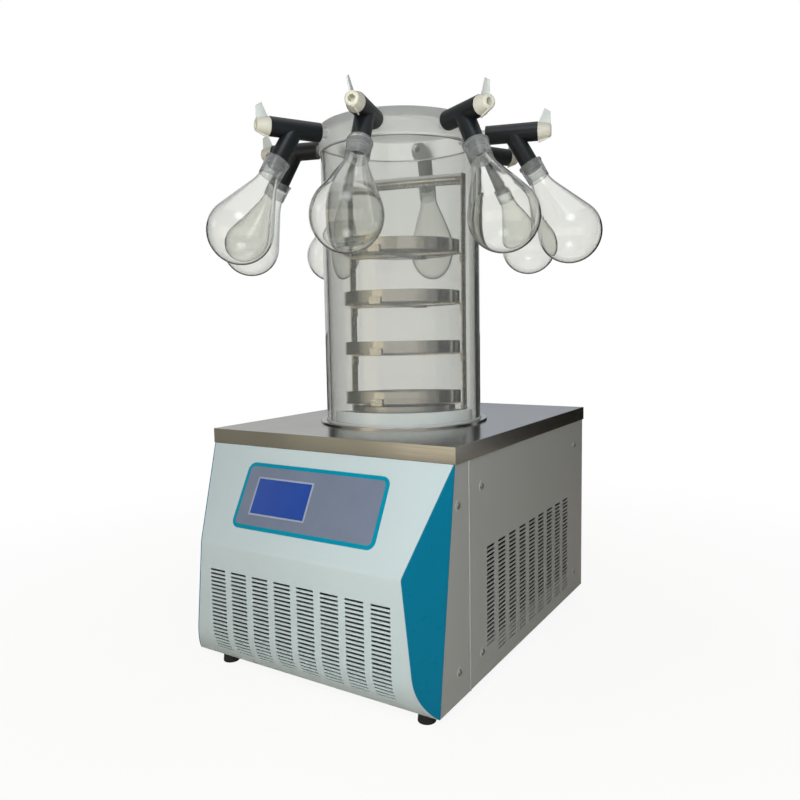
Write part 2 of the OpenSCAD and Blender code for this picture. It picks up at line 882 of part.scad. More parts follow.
// Half outline of a pear-shaped flask: round bulb, cone that touches it, straight neck.
module flask_outline(inset) {
    shoulder = mouth_at + neck_len;
    run = bulb_at - shoulder;
    r = bulb_r - inset;
    nr = neck_r - inset;
    rise = asin(r / sqrt(run * run + nr * nr)) - atan(nr / run);
    translate([0, bulb_at]) circle(r, $fn = 96);
    polygon([[0, shoulder], [nr, shoulder], [r * cos(rise), bulb_at - r * sin(rise)], [0, bulb_at]]);
    translate([0, mouth_at]) square([nr, neck_len]);
}

module flask(n) {
    color("lightcyan", 0.4) on_branch(n) rotate_extrude() intersection() {
        difference() {
            flask_outline(0);
            flask_outline(glass);
            translate([0, mouth_at - cut]) square([neck_r - glass, 2 * cut]);
        }
        translate([0, mouth_at]) square(far);
    }
}

module compressor() {
    base_w = 84;
    color("dimgray") translate([compressor_x, compressor_y, pan_top]) {
        translate([0, 0, 8]) rotate_extrude() intersection() {
            translate([0, compressor_h / 2]) rounded(2 * compressor_r, compressor_h, 26);
            square([compressor_r, compressor_h]);
        }
        translate([0, 0, 9]) cube([2 * (compressor_r + 4), base_w, 6], center = true);
        for (x = [-1, 1], y = [-1, 1])
            translate([x * (compressor_r - 5), y * (base_w / 2 - 8), 0]) cylinder(r = 8, h = 8);
    }
}

module condenser() {
    fins = 24;
    color("silver") translate([-condenser_w / 2, condenser_y, pan_top]) {
        for (i = [0:fins]) translate([i * (condenser_w - sheet) / fins, 0, 0])
            cube([i % fins == 0 ? sheet : 0.6, condenser_d, condenser_h]);
        for (row = [0:4]) translate([0, condenser_d / 2, (row + 0.5) * condenser_h / 5])
            rotate([0, 90, 0]) cylinder(r = 5, h = condenser_w);
    }
}

// Places a piece on the fan's axis: Z runs backwards, from the fan's rear face.
module on_fan() {
    translate([fan_x, fan_y, fan_z]) rotate([-90, 0, 0]) children();
}

module fan_housing() {
    size = 2 * fan_r + 16;
    foot = fan_z - pan_top;
    color("black") {
        on_fan() difference() {
            translate([0, (foot - size / 2) / 2, -fan_depth / 2])
                cube([size, size / 2 + foot, fan_depth], center = true);
            translate([0, 0, -fan_depth - cut]) cylinder(r = fan_r, h = fan_depth + 2 * cut);
        }
        on_fan() {
            translate([0, 0, -6]) cylinder(r = 24, h = 20);
            translate([0, 0, -fan_depth + 4]) cylinder(r = shaft_r, h = fan_depth);
            for (a = [45:90:315]) rotate([0, 0, a])
                translate([12, -3, -5]) cube([fan_r, 6, 4]);
        }
    }
}

module fan_rotor() {
    depth = fan_depth - 10;
    hub = 18;
    blade = 26;
    color("white") on_fan() translate([0, 0, -fan_depth + 2]) difference() {
        union() {
            cylinder(r = hub, h = depth);
            intersection() {
                cylinder(r = fan_r - 3, h = depth);
                for (a = [0:60:300]) rotate([0, 0, a])
                    translate([hub - 2, 0, depth / 2]) rotate([35, 0, 0])
                        translate([0, -blade / 2, -1]) cube([fan_r, blade, 2]);
            }
        }
        translate([0, 0, -cut]) cylinder(r = shaft_r + pin_play, h = depth + 2 * cut);
    }
}

// Straight pipe from the trap's vessel through the rear panel, with a clamping flange.
module vacuum_port() {
    out = body_rear + port_stand;
    color("silver") difference() {
        translate([port_x, 0, port_z]) rotate([-90, 0, 0]) {
            cylinder(r = port_r, h = out);
            translate([0, 0, out - 4]) cylinder(r = port_flange_r, h = 4);
            translate([0, 0, out - 7]) cylinder(r1 = port_r, r2 = port_flange_r, h = 3);
        }
        translate([port_x, -cut, port_z]) rotate([-90, 0, 0]) cylinder(r = port_bore, h = far);
        translate([0, 0, trap_floor]) cylinder(r = vessel_r + push_gap, h = trap_depth);
    }
}

module power_inlet() {
    depth = 30;
    face = 2;
    color("black") difference() {
        union() {
            translate([inlet_x, body_rear - depth / 2, inlet_z]) cube([inlet_w, depth, inlet_h], center = true);
            translate([inlet_x, body_rear + face / 2, inlet_z])
                cube([inlet_w + 6, face, inlet_h + 6], center = true);
        }
        translate([inlet_x, body_rear + face, socket_z])
            cube([socket_w, 2 * socket_depth, socket_h], center = true);
        translate([inlet_x, body_rear, rocker_z])
            cube([rocker_w + 1, 2 * socket_depth, rocker_h + 2], center = true);
        at_rocker() rotate([0, 90, 0])
            cylinder(r = rocker_pin_r + pin_play, h = rocker_w + 6, center = true);
    }
    color("silver") for (x = [-7, 0, 7])
        translate([inlet_x + x - 1, body_rear - socket_depth, socket_z - 2 + (x == 0 ? 4 : 0)])
            cube([2, socket_depth - 1, 4]);
}

// The rocker's pivot axis, along X.
module at_rocker() {
    translate([inlet_x, body_rear - 2, rocker_z]) children();
}

module power_switch() {
    color("darkred") at_rocker() rotate([rocker_rest, 0, 0]) {
        rotate([90, 0, 90]) linear_extrude(rocker_w, center = true)
            polygon([[-7, -6], [0, -11], [5, -rocker_h / 2 + 1.5], [4, 0], [5, rocker_h / 2 - 1.5], [0, 11], [-7, 6]]);
        rotate([0, 90, 0]) cylinder(r = rocker_pin_r, h = rocker_w + 5, center = true);
    }
}

base_pan();
front_frame();
fascia();
on_side(-1) cheek();  // cheek_left
on_side(1) cheek();  // cheek_right
on_side(-1) side_panel();  // side_panel_left
on_side(1) side_panel();  // side_panel_right
rear_panel();
worktop();
control_overlay();
display();
feet();
panel_screws();
cold_trap();
trap_foam();
evaporator_coil();
trap_ring();
flow_guide();
base_seal();
chamber_tube();
lid_seal();
manifold_lid();
rack_frame();
rack_support(1);  // rack_support_1
rack_support(2);  // rack_support_2
rack_support(3);  // rack_support_3
rack_support(4);  // rack_support_4
rack_screws();
tray(1);  // tray_1
tray(2);  // tray_2
tray(3);  // tray_3
tray(4);  // tray_4
valve_bodies();
valve_knob(1);  // valve_knob_1
valve_knob(2);  // valve_knob_2
valve_knob(3);  // valve_knob_3
valve_knob(4);  // valve_knob_4
valve_knob(5);  // valve_knob_5
valve_knob(6);  // valve_knob_6
valve_knob(7);  // valve_knob_7
valve_knob(8);  // valve_knob_8
flask_collars();
flask(1);  // flask_1
flask(2);  // flask_2
flask(3);  // flask_3
flask(4);  // flask_4
flask(5);  // flask_5
flask(6);  // flask_6
flask(7);  // flask_7
flask(8);  // flask_8
compressor();
condenser();
fan_housing();
fan_rotor();
control_board();
vacuum_port();
power_inlet();
power_switch();
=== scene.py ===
import json
import math

import bmesh
import bpy
from bpy.props import FloatProperty, FloatVectorProperty, PointerProperty
from bpy.types import Operator, Panel, PropertyGroup
from mathutils import Matrix, Vector


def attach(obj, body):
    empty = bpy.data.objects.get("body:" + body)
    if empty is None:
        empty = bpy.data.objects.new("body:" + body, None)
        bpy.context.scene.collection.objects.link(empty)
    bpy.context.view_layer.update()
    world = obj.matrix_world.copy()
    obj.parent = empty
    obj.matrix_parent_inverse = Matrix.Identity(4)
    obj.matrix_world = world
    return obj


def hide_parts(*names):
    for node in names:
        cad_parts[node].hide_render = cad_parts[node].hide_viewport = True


bl_info = {
    "name": "Freeze Dryer",
    "version": (1, 0, 0),
    "blender": (4, 5, 0),
    "location": "3D Viewport > Sidebar > Freeze Dryer",
    "description": "Dresses a benchtop freeze dryer and lights it on a pale floor",
    "category": "Object",
}

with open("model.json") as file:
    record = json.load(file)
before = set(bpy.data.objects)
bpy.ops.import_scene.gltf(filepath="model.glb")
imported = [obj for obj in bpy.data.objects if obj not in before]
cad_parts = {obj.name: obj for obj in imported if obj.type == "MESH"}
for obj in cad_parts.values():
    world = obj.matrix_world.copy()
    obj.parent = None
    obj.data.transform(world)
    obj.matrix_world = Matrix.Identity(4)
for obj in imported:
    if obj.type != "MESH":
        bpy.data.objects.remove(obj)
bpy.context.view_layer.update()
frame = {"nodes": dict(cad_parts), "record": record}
MM = 0.001
FINISHES = {}
PORTS = range(1, 9)
LEVELS = range(1, 5)
X, Y, Z = range(3)


def ends(node, axis):
    """Where a CAD node begins and ends along an axis, in millimetres to the hundredth."""
    along = [vert.co[axis] / MM for vert in frame["nodes"][node].data.vertices]
    return round(min(along), 2), round(max(along), 2)


# Places on the cabinet and the manifold, in millimetres
SIDE_X = ends("side_panel_right", X)[1]  # outer faces of the side panels
SEAM_Y = ends("side_panel_right", Y)[0]  # their front edges
FOOT_Z = ends("side_panel_right", Z)[0]  # their lower edges
REAR_Y = ends("rear_panel", Y)[1]  # outer face of the rear panel
FRONT_Y = ends("worktop", Y)[0]  # top edge of the sloping front
FRONT_Z = ends("worktop", Z)[0]
FRONT_REACH = FRONT_Y - ends("fascia", Y)[0]  # how far the front comes out
FRONT_FALL = 141  # on its way down
PORT_Z = 842  # height of the valves' axes
FIRST_PORT = 17  # degrees to the right of the front
BRANCH_AT = 190  # where a branch leaves its valve's axis
BRANCH_TURN = 150  # degrees from upright to the branch's way down

# The control panel's places on the front, in millimetres
PANEL_DOWN = 26  # from the top edge of the sloping front
DISPLAY_W, DISPLAY_H = 108, 60
DISPLAY_IN = 27  # from the panel's left edge


def length(name, about, default, low, high):
    """A size in metres that the sidebar shows."""
    return FloatProperty(
        name=name, description=about, default=default, min=low, max=high, unit="LENGTH"
    )


def tint(name, about, default):
    """A colour that the sidebar shows."""
    return FloatVectorProperty(
        name=name, description=about, default=default, min=0, max=1, size=3, subtype="COLOR"
    )


def power(name, about, default):
    """A lamp's power in watts that the sidebar shows."""
    return FloatProperty(name=name, description=about, default=default, min=0, unit="POWER")


class CabinetLook(PropertyGroup):
    front_paint: tint("Front paint", "Powder coat of the front skin", (0.535, 0.605, 0.605))
    # The side panels' powder coat is set darker than the front paint: partly its own grey, partly
    # painted shade standing in for the shade on the sides.
    side_paint_and_shade: tint("Side paint", "Powder coat of the side panels", (0.36, 0.36, 0.34))
    cheek_paint: tint("Cheek paint", "Gloss paint of the front corners", (0.0, 0.155, 0.255))
    steel: tint("Steel", "Stainless steel of the worktop", (0.42, 0.41, 0.385))
    edge: length("Edge", "Radius rolled on the sheet edges", 0.9 * MM, 0, 1.4 * MM)


class PanelLook(PropertyGroup):
    width: length("Width", "Width of the control panel", 263 * MM, 0.2, 0.28)
    height: length("Height", "Height of the control panel", 104 * MM, 0.09, 0.11)
    corner: length("Corner", "Radius of its corners", 13 * MM, 0.005, 0.02)
    border: length("Border", "Width of the coloured border", 6 * MM, 0.002, 0.01)
    border_tint: tint("Border colour", "Colour of the border", (0.0, 0.25, 0.36))
    film_tint: tint("Film colour", "Colour of the membrane film", (0.17, 0.195, 0.26))
    screen_tint: tint("Screen colour", "Colour of the display", (0.015, 0.058, 0.3))


class ManifoldLook(PropertyGroup):
    rubber: tint("Rubber", "Black rubber of the valves", (0.008, 0.0105, 0.012))
    knob: tint("Knob", "Moulded plastic of the valve knobs", (0.7, 0.66, 0.55))
    fin: tint("Fin", "Clouded plastic of the knobs' fins", (0.66, 0.68, 0.64))
    collar: tint("Collar", "Silicone of the flask collars", (0.8, 0.81, 0.8))


class GlassLook(PropertyGroup):
    bulb: length("Bulb", "Diameter of a flask's bulb", 101.9 * MM, 0.09, 0.106)
    neck: length("Neck", "Diameter of a flask's neck", 31 * MM, 0.028, 0.032)
    wall: length("Wall", "Thickness of the flask glass", 2 * MM, 0.001, 0.003)
    # The chamber, lid and flask tints are greyer than clear acrylic and glass: part of that grey
    # is painted shade, standing in for a darker background seen through the walls.
    chamber: tint("Chamber", "Light that the chamber's wall lets through", (0.78, 0.785, 0.76))
    lid: tint("Lid", "Light that the lid's wall lets through", (0.89, 0.89, 0.865))
    flask: tint("Flask", "Light that a flask's wall lets through", (0.915, 0.92, 0.895))
    density: FloatProperty(
        name="Density", description="How much the acrylic darkens per metre", default=3, min=0
    )


class StageLook(PropertyGroup):
    ambient: FloatProperty(name="Ambient", description="Strength of the sky", default=0.16, min=0)
    key: power("Key", "Power of the main lamp", 13.5)
    fill: power("Fill", "Power of the fill lamp", 2.4)
    rear: power("Rear", "Power of the rear lamp; the left lamp has half of it", 20)
    floor: tint("Floor", "Colour of the floor", (0.9, 0.84, 0.77))


def look(name):
    """The sidebar's values for one group."""
    return getattr(bpy.context.scene, "dryer_" + name)


def in_mm(size):
    """A size from the sidebar in millimetres."""
    return round(size / MM, 3)


# Finishes


class Finish:
    """One material with a Principled shader, and short ways to drive its sockets."""

    def __init__(self, name, colour, roughness, **sockets):
        self.material = bpy.data.materials.new(name)
        self.material.use_nodes = True
        self.tree = self.material.node_tree
        self.tree.nodes.clear()
        self.output = self.tree.nodes.new("ShaderNodeOutputMaterial")
        self.shader = self.tree.nodes.new("ShaderNodeBsdfPrincipled")
        self.join(self.shader.outputs[0], self.output.inputs["Surface"])
        self.shader.inputs["Base Color"].default_value = (*colour, 1)
        self.shader.inputs["Roughness"].default_value = roughness
        for socket, value in sockets.items():
            self.shader.inputs[socket.replace("_", " ")].default_value = value
        self.material.diffuse_color = (*colour, 1)

    def join(self, a, b):
        """Links one socket to another."""
        self.tree.links.new(a, b)

    def place(self, stretch=(1, 1, 1)):
        """Coordinates on the object, stretched."""
        coordinates = self.tree.nodes.new("ShaderNodeTexCoord")
        mapping = self.tree.nodes.new("ShaderNodeMapping")
        mapping.inputs["Scale"].default_value = stretch
        self.join(coordinates.outputs["Object"], mapping.inputs["Vector"])
        return mapping.outputs["Vector"]

    def grain(self, place, scale, detail=2.0, rough=0.5):
        """Noise with scale waves to the metre."""
        noise = self.tree.nodes.new("ShaderNodeTexNoise")
        noise.inputs["Scale"].default_value = scale
        noise.inputs["Detail"].default_value = detail
        noise.inputs["Roughness"].default_value = rough
        self.join(place, noise.inputs["Vector"])
        return noise.outputs["Fac"]

    def colours(self, source, low, high, start=0.3, end=0.7):
        """Runs from one colour to another as source goes from start to end."""
        ramp = self.tree.nodes.new("ShaderNodeValToRGB")
        ramp.color_ramp.elements[0].position = start
        ramp.color_ramp.elements[1].position = end
        ramp.color_ramp.elements[0].color = (*low, 1)
        ramp.color_ramp.elements[1].color = (*high, 1)
        self.join(source, ramp.inputs[0])
        return ramp.outputs["Color"]

    def spread(self, source, low, high, start=0.3, end=0.7):
        """Runs from low to high as source goes from start to end."""
        ranged = self.tree.nodes.new("ShaderNodeMapRange")
        ends = {"From Min": start, "From Max": end, "To Min": low, "To Max": high}
        for socket, value in ends.items():
            ranged.inputs[socket].default_value = value
        self.join(source, ranged.inputs["Value"])
        return ranged.outputs["Result"]

    def vary(self, source, amount):
        """Makes the base colour lighter and darker by a share where source changes."""
        base = self.shader.inputs["Base Color"].default_value[:3]
        low = [c * (1 - amount) for c in base]
        high = [min(1, c * (1 + amount)) for c in base]
        self.join(self.colours(source, low, high), self.shader.inputs["Base Color"])

    def dull(self, source, low, high):
        """Makes the roughness follow source."""
        self.join(self.spread(source, low, high), self.shader.inputs["Roughness"])

    def relief(self, source, strength, depth):
        """Raises the surface by up to depth, in metres, where source is high."""
        bump = self.tree.nodes.new("ShaderNodeBump")
        bump.inputs["Strength"].default_value = strength
        bump.inputs["Distance"].default_value = depth
        self.join(source, bump.inputs["Height"])
        self.join(bump.outputs["Normal"], self.shader.inputs["Normal"])

    def clear(self, through):
        """Lets lamps through the glass, so that what is behind it is lit."""
        path = self.tree.nodes.new("ShaderNodeLightPath")
        open_side = self.tree.nodes.new("ShaderNodeBsdfTransparent")
        open_side.inputs["Color"].default_value = (*through, 1)
        mix = self.tree.nodes.new("ShaderNodeMixShader")
        self.join(path.outputs["Is Shadow Ray"], mix.inputs["Fac"])
        self.join(self.shader.outputs[0], mix.inputs[1])
        self.join(open_side.outputs[0], mix.inputs[2])
        self.join(mix.outputs[0], self.output.inputs["Surface"])

    def absorb(self, colour, density):
        """Darkens light along its way through the body."""
        volume = self.tree.nodes.new("ShaderNodeVolumeAbsorption")
        volume.inputs["Color"].default_value = (*colour, 1)
        volume.inputs["Density"].default_value = density
        self.join(volume.outputs[0], self.output.inputs["Volume"])


def powder_coat(name, colour, roughness=0.42):
    """Textured paint: fine orange peel, faint cloudiness."""
    paint = Finish(name, colour, roughness, Specular_IOR_Level=0.45)
    place = paint.place()
    paint.vary(paint.grain(place, 5, 3), 0.025)
    paint.dull(paint.grain(place, 260, 2), roughness - 0.05, roughness + 0.06)
    paint.relief(paint.grain(place, 850, 3), 0.22, 0.12 * MM)
    return paint.material


def gloss_paint(name, colour):
    """Smooth paint with a faint waviness."""
    paint = Finish(name, colour, 0.3, Specular_IOR_Level=0.12)
    place = paint.place()
    paint.vary(paint.grain(place, 6, 3), 0.04)
    paint.dull(paint.grain(place, 90, 2), 0.27, 0.33)
    paint.relief(paint.grain(place, 900, 2), 0.06, 0.05 * MM)
    return paint.material


def brushed_steel(name, colour, stretch, low, high, relief=0.3):
    """Steel with fine lines along one way."""
    steel = Finish(name, colour, 0.25, Metallic=1.0)
    lines = steel.grain(steel.place(stretch), 1, 3, 0.6)
    clouds = steel.grain(steel.place(), 9, 2)
    steel.vary(clouds, 0.05)
    steel.dull(lines, low, high)
    steel.relief(lines, relief, 0.05 * MM)
    return steel.material


def bright_steel(name, colour, roughness):
    """Bare metal with slight clouds and scuffs."""
    steel = Finish(name, colour, roughness, Metallic=1.0)
    place = steel.place()
    steel.vary(steel.grain(place, 14, 3), 0.06)
    steel.dull(steel.grain(place, 300, 3), roughness - 0.06, roughness + 0.08)
    return steel.material


def moulded(name, colour, roughness=0.4, fine=700, depth=0.1, gloss=0.5):
    """Moulded plastic or rubber with a matt, slightly uneven skin."""
    plastic = Finish(name, colour, roughness, Specular_IOR_Level=gloss)
    place = plastic.place()
    plastic.vary(plastic.grain(place, 25, 3), 0.05)
    plastic.dull(plastic.grain(place, 240, 2), roughness - 0.06, roughness + 0.08)
    plastic.relief(plastic.grain(place, fine, 3), 0.25, depth * MM)
    return plastic.material


def clear_body(name, colour, ior, density, roughness=0.0, waves=0.06, milk=0.0):
    """Glass or acrylic: colour is what a wall, with its two faces, lets through, density
    darkens its edges and milk clouds it."""
    glass = Finish(name, colour, roughness, Transmission_Weight=1.0 - milk, IOR=ior)
    place = glass.place()
    glass.relief(glass.grain(place, 14, 1), waves, 1 * MM)
    edge_colour = [c * 0.7 for c in colour]
    glass.absorb(edge_colour, density)
    one_face = [c ** 0.5 for c in colour]
    glass.clear(one_face)
    return glass.material


def make_finishes():
    """All finishes, named as the record's material slots."""
    cabinet, panel = look("cabinet"), look("panel")
    manifold, glass = look("manifold"), look("glass")
    across, around = (2, 900, 2), (2, 2, 900)  # ways of the brush: along Y, round the axis
    return {
        "fascia_paint": powder_coat("fascia_paint", cabinet.front_paint),
        # panel_paint takes the side colour, whose darkness is partly painted shade for the shaded
        # sides.
        "panel_paint": powder_coat("panel_paint", cabinet.side_paint_and_shade, 0.46),
        "cheek_paint": gloss_paint("cheek_paint", cabinet.cheek_paint),
        "zinc_sheet": bright_steel("zinc_sheet", (0.5, 0.52, 0.54), 0.42),
        "worktop_steel": brushed_steel(
            "worktop_steel", cabinet.steel, (6, 700, 700), 0.14, 0.26, 0.12
        ),
        "membrane_border": moulded(
            "membrane_border", panel.border_tint, 0.3, 1400, 0.04, 0.12
        ),
        "display_frame": moulded("display_frame", (0.33, 0.37, 0.45), 0.35, 900, 0.03),
        "membrane_film": moulded(
            "membrane_film", panel.film_tint, 0.34, 1400, 0.04, 0.35
        ),
        "display_blue": moulded("display_blue", panel.screen_tint, 0.16, 200, 0.01, 0.3),
        "foot_rubber": moulded("foot_rubber", (0.012, 0.012, 0.012), 0.6),
        "screw_steel": bright_steel("screw_steel", (0.48, 0.48, 0.47), 0.25),
        "trap_steel": brushed_steel("trap_steel", (0.52, 0.51, 0.49), around, 0.12, 0.26),
        "foam": moulded("foam", (0.62, 0.55, 0.36), 0.85, 300, 0.6),
        "copper_tube": bright_steel("copper_tube", (0.75, 0.36, 0.2), 0.28),
        "ring_plastic": moulded("ring_plastic", (0.93, 0.97, 1.0), 0.38, 500, 0.06),
        "guide_steel": brushed_steel("guide_steel", (0.55, 0.54, 0.52), around, 0.14, 0.3),
        "seal_silicone": moulded("seal_silicone", (0.55, 0.56, 0.56), 0.45),
        # The acrylic and glass tints are partly painted shade, standing in for a darker
        # background seen through the walls.
        "clear_acrylic": clear_body(
            "clear_acrylic", glass.chamber, 1.49, glass.density, 0.01, 0.03, 0.06
        ),
        "rack_steel": bright_steel("rack_steel", (0.6, 0.59, 0.56), 0.22),
        "tray_steel": brushed_steel(
            "tray_steel", (0.62, 0.6, 0.565), (2, 2, 1400), 0.08, 0.17, 0.1
        ),
        "valve_rubber": moulded("valve_rubber", manifold.rubber, 0.4, 420, 0.12),
        "knob_plastic": moulded("knob_plastic", manifold.knob, 0.38, 500, 0.08),
        "fin_plastic": moulded("fin_plastic", manifold.fin, 0.42, 500, 0.08),
        "lid_acrylic": clear_body(
            "lid_acrylic", glass.lid, 1.2, glass.density / 3, 0.35, 0.02, 0.12
        ),
        "collar_silicone": clear_body(
            "collar_silicone", manifold.collar, 1.41, 12, 0.15, milk=0.1
        ),
        "flask_glass": clear_body("flask_glass", glass.flask, 1.47, 12),
        "compressor_paint": moulded("compressor_paint", (0.02, 0.02, 0.022), 0.3, 300),
        "fin_aluminium": bright_steel("fin_aluminium", (0.7, 0.71, 0.72), 0.35),
        "fan_plastic": moulded("fan_plastic", (0.018, 0.018, 0.02), 0.45),
        "rotor_plastic": moulded("rotor_plastic", (0.03, 0.03, 0.033), 0.4),
        "board_laminate": moulded("board_laminate", (0.01, 0.12, 0.05), 0.4),
        "port_steel": brushed_steel("port_steel", (0.58, 0.57, 0.55), across, 0.15, 0.3),
        "inlet_plastic": moulded("inlet_plastic", (0.015, 0.015, 0.016), 0.42),
        "rocker_plastic": moulded("rocker_plastic", (0.02, 0.02, 0.02), 0.3),
    }


def slot_of(node):
    """The record's material slot of a CAD node."""
    for part in frame["record"]["subparts"]:
        if part["node"] == node or node in part.get("nodes", ()):
            return part["material_slot"]
    return None


# Shapes


def turned(points, rounds=(), steps=96, closed=False):
    """Turns an outline of (radius, height) points, in millimetres, about Z. rounds holds
    (radius, point numbers) pairs for the corners that are rounded off."""
    bm = bmesh.new()
    corners = [bm.verts.new((r * MM, 0, z * MM)) for r, z in points]
    ends = corners[1:] + corners[:1] if closed else corners[1:]
    for a, b in zip(corners, ends):
        bm.edges.new((a, b))
    for radius, numbers in rounds:
        round_corners(bm, [corners[i] for i in numbers], radius)
    spin_full(bm, steps)
    return bm


def round_corners(bm, corners, radius, segments=5):
    """Rounds corners of an outline off."""
    bmesh.ops.bevel(
        bm,
        geom=corners,
        offset=radius * MM,
        offset_type="OFFSET",
        segments=segments,
        profile=0.5,
        affect="VERTICES",
        material=-1,
    )


def round_edges(bm, edges, radius, segments=2):
    """Rounds edges of a solid off."""
    bmesh.ops.bevel(
        bm,
        geom=edges,
        offset=radius * MM,
        offset_type="OFFSET",
        segments=segments,
        profile=0.5,
        affect="EDGES",
        clamp_overlap=True,
        material=-1,
    )


def spin_full(bm, steps):
    """Turns an outline once round Z."""
    bmesh.ops.spin(
        bm,
        geom=bm.verts[:] + bm.edges[:],
        cent=(0, 0, 0),
        axis=(0, 0, 1),
        angle=math.tau,
        steps=steps,
        use_merge=True,
        use_normal_flip=False,
        use_duplicate=False,
    )
    close_up(bm)


def close_up(bm):
    """Merges doubles and turns the faces outwards."""
    bmesh.ops.remove_doubles(bm, verts=bm.verts, dist=0.001 * MM)
    bmesh.ops.recalc_face_normals(bm, faces=bm.faces)


def thicken(bm, wall):
    """Gives a surface a wall, in millimetres."""
    bmesh.ops.solidify(bm, geom=bm.faces[:], thickness=wall * MM)


def plate(points, thick):
    """A flat plate with the given (x, y) corners in millimetres, from z = 0 up."""
    bm = bmesh.new()
    face = bm.faces.new([bm.verts.new((x * MM, y * MM, 0)) for x, y in points])
    raise_face(bm, [face], thick)
    return bm


def rounded_sheet(w, h, corner):
    """A flat sheet with round corners, in millimetres."""
    bm = bmesh.new()
    bmesh.ops.create_grid(bm, x_segments=1, y_segments=1, size=0.5)
    bmesh.ops.scale(bm, vec=(w * MM, h * MM, 1), verts=bm.verts)
    round_corners(bm, bm.verts[:], corner, 8)
    return bm


def raise_face(bm, faces, thick):
    """Makes flat faces a plate."""
    grown = bmesh.ops.extrude_face_region(bm, geom=faces)["geom"]
    tops = [g for g in grown if isinstance(g, bmesh.types.BMVert)]
    bmesh.ops.translate(bm, vec=(0, 0, thick * MM), verts=tops)
    bmesh.ops.recalc_face_normals(bm, faces=bm.faces)


def sharp_edges(bm, angle):
    """The edges that bend by more than angle degrees."""
    limit = math.radians(angle)
    return [e for e in bm.edges if e.is_manifold and e.calc_face_angle(0) > limit]


def at(x=0.0, y=0.0, z=0.0):
    """A shift by millimetres."""
    return Matrix.Translation((x * MM, y * MM, z * MM))


def tilt(degrees, axis):
    """A turn about an axis."""
    return Matrix.Rotation(math.radians(degrees), 4, axis)


def move(bm, matrix):
    """Moves a shape to its place."""
    bmesh.ops.transform(bm, matrix=matrix, verts=bm.verts)
    return bm


def joined(parts):
    """One bmesh out of several."""
    whole = parts[0]
    for part in parts[1:]:
        mesh = bpy.data.meshes.new("part")
        part.to_mesh(mesh)
        part.free()
        whole.from_mesh(mesh)
        bpy.data.meshes.remove(mesh)
    return whole


def new_piece(name, bm, finish, stands_for=(), body="root", sharp=38):
    """Makes a bmesh a piece of the dryer."""
    for face in bm.faces:
        face.smooth = True
    for edge in sharp_edges(bm, sharp):
        edge.smooth = False
    mesh = bpy.data.meshes.new(name)
    bm.to_mesh(mesh)
    bm.free()
    mesh.materials.append(FINISHES[finish])
    piece = bpy.data.objects.new(name, mesh)
    bpy.context.scene.collection.objects.link(piece)
    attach(piece, body)
    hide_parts(*stands_for)
    return piece


def copy_of(node):
    """A bmesh of a CAD node with its triangles merged into whole faces."""
    bm = bmesh.new()
    bm.from_mesh(frame["nodes"][node].data)
    bmesh.ops.remove_doubles(bm, verts=bm.verts, dist=0.005 * MM)
    bmesh.ops.dissolve_limit(
        bm,
        angle_limit=math.radians(0.8),
        use_dissolve_boundaries=False,
        verts=bm.verts[:],
        edges=bm.edges[:],
    )
    return bm


def outer_edges(bm, axes, band=2.5):
    """The sharp edges that lie near the ends of a shape along the given axes."""
    ends = []
    for axis in axes:
        along = [v.co[axis] for v in bm.verts]
        ends += [(axis, min(along)), (axis, max(along))]
    chosen = []
    for edge in sharp_edges(bm, 25):
        for axis, end in ends:
            if all(abs(v.co[axis] - end) < band * MM for v in edge.verts):
                chosen.append(edge)
                break
    return chosen


def dress(node, radius, axes=None, more=()):
    """Replaces a CAD node by a copy with rolled edges, and joins more shapes to it."""
    bm = copy_of(node)
    edges = sharp_edges(bm, 25) if axes is None else outer_edges(bm, axes)
    round_edges(bm, edges, radius)
    piece = new_piece(node + "_rolled", joined([bm, *more]), slot_of(node), [node], sharp=32)
    even = piece.modifiers.new("even_shading", "WEIGHTED_NORMAL")
    even.keep_sharp = True


def centres_of(node):
    """The middle of each separate solid of a CAD node."""
    bm = copy_of(node)
    middles, seen_before = [], set()
    for start in bm.verts:
        if start in seen_before:
            continue
        seen_before.add(start)
        solid = [start]
        for vert in solid:
            for edge in vert.link_edges:
                other = edge.other_vert(vert)
                if other not in seen_before:
                    seen_before.add(other)
                    solid.append(other)
        low = Vector([min(vert.co[axis] for vert in solid) for axis in (X, Y, Z)])
        high = Vector([max(vert.co[axis] for vert in solid) for axis in (X, Y, Z)])
        middles.append((low + high) / 2)
    bm.free()
    return middles


def screw_head():
    """A domed head with a socket and a short shank, Z outwards from the sheet."""
    shank, head, crown, socket = 1.9, 4.5, 3.4, 1.8
    under, side, top, bottom = -3, 1.0, 2.2, 0.8
    outline = [
        (0, under), (shank, under), (shank, 0), (head, 0), (head, side),
        (crown, top), (socket, top), (socket, bottom), (0, bottom),
    ]
    return turned(outline, [(0.6, (4, 5))], 24)


def dimple():
    """The pressed rim round a screw."""
    inner, outer, high = 4.7, 8.2, 1.0
    crest_inner, crest_outer = 5.9, 6.8
    outline = [(inner, 0), (outer, 0), (crest_outer, high), (crest_inner, high)]
    return turned(outline, [(0.4, (2, 3))], 32, closed=True)


def lip(side):
    """The folded lip down a side panel's front edge. side is -1 for the left one."""
    radius, sunk, below_worktop = 1.4, 0.3, 0.5
    bead = bmesh.new()
    bmesh.ops.create_circle(bead, cap_ends=True, segments=24, radius=radius * MM)
    raise_face(bead, bead.faces[:], FRONT_Z - below_worktop - FOOT_Z)
    return move(bead, at(side * (SIDE_X - sunk), SEAM_Y + radius, FOOT_Z))


def screw_places():
    """The places of the panel screws, by the sheet that they hold."""
    places = {"side_panel_left": [], "side_panel_right": [], "rear_panel": []}
    screw_deep = 13
    for middle in centres_of("panel_screws"):
        x, y, z = middle / MM
        side = math.copysign(1, x)
        if y > REAR_Y - screw_deep:
            places["rear_panel"].append(at(x, REAR_Y, z) @ tilt(-90, "X"))
        else:
            sheet = "side_panel_right" if side > 0 else "side_panel_left"
            places[sheet].append(at(side * SIDE_X, y, z) @ tilt(90 * side, "Y"))
    return places


# Places


